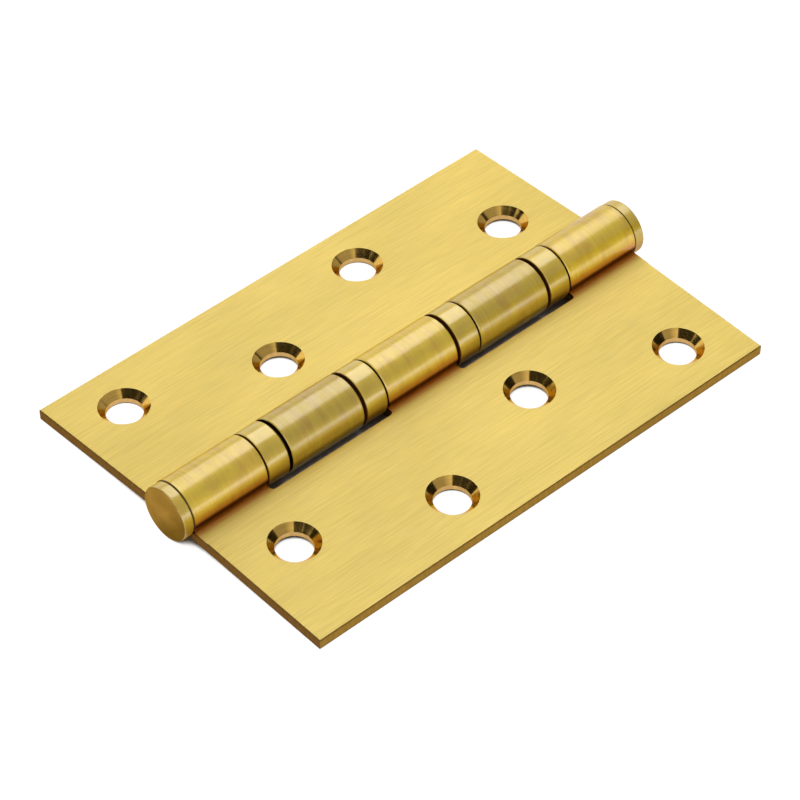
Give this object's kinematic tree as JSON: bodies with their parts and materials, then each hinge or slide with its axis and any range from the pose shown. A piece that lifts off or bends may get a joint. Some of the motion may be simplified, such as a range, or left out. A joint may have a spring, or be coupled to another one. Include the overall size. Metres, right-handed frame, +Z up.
{
  "type": "ball bearing butt hinge",
  "caption": "Butt hinge laid open: countersunk brass leaves rolled into interlocking knuckles, with thrust ball bearings between the knuckles and a through pin.",
  "frame": {"origin": "on the table, under the pin's axis, half way along the leaves", "axes": "+X along the pin towards its head, +Y towards the two-knuckle leaf, +Z up"},
  "size_m": [0.1042, 0.0706, 0.0103],
  "materials": {
    "leaf_brass": "satin, brushed along the pin",
    "shell_brass": "satin, turned",
    "pin_brass": "satin, turned",
    "race_steel": "ground, hardened",
    "ball_steel": "polished"
  },
  "bodies": {
    "three_knuckle_side": {"leaf_three_knuckle": "leaf_brass", "hinge_pin": "pin_brass", "pin_tip": "pin_brass", "bearing_shell_1": "shell_brass", "seat_race_1": "race_steel", "bearing_shell_2": "shell_brass", "seat_race_2": "race_steel", "turning_race_3": "race_steel", "bearing_shell_4": "shell_brass", "seat_race_4": "race_steel"},
    "two_knuckle_side": {"leaf_two_knuckle": "leaf_brass", "turning_race_1": "race_steel", "turning_race_2": "race_steel", "bearing_shell_3": "shell_brass", "seat_race_3": "race_steel", "turning_race_4": "race_steel"},
    "ball_ring_1": {"bearing_balls_1": "ball_steel"},
    "ball_ring_2": {"bearing_balls_2": "ball_steel"},
    "ball_ring_3": {"bearing_balls_3": "ball_steel"},
    "ball_ring_4": {"bearing_balls_4": "ball_steel"}
  },
  "joints": [
    {"name": "leaf_swing", "type": "hinge", "parent": "three_knuckle_side", "child": "two_knuckle_side", "pos_m": [0, 0, 0.00515], "axis": [1, 0, 0], "range_deg": [-111, 189]},
    {"name": "balls_roll_1", "type": "hinge", "parent": "three_knuckle_side", "child": "ball_ring_1", "pos_m": [0, 0, 0.00515], "axis": [1, 0, 0], "range_deg": [-55.5, 94.5]},
    {"name": "balls_roll_2", "type": "hinge", "parent": "three_knuckle_side", "child": "ball_ring_2", "pos_m": [0, 0, 0.00515], "axis": [1, 0, 0], "range_deg": [-55.5, 94.5]},
    {"name": "balls_roll_3", "type": "hinge", "parent": "three_knuckle_side", "child": "ball_ring_3", "pos_m": [0, 0, 0.00515], "axis": [1, 0, 0], "range_deg": [-55.5, 94.5]},
    {"name": "balls_roll_4", "type": "hinge", "parent": "three_knuckle_side", "child": "ball_ring_4", "pos_m": [0, 0, 0.00515], "axis": [1, 0, 0], "range_deg": [-55.5, 94.5]}
  ],
  "couplings": [
    {"joint": "balls_roll_1", "follows": "leaf_swing", "ratio": 0.5},
    {"joint": "balls_roll_2", "follows": "leaf_swing", "ratio": 0.5},
    {"joint": "balls_roll_3", "follows": "leaf_swing", "ratio": 0.5},
    {"joint": "balls_roll_4", "follows": "leaf_swing", "ratio": 0.5}
  ]
}
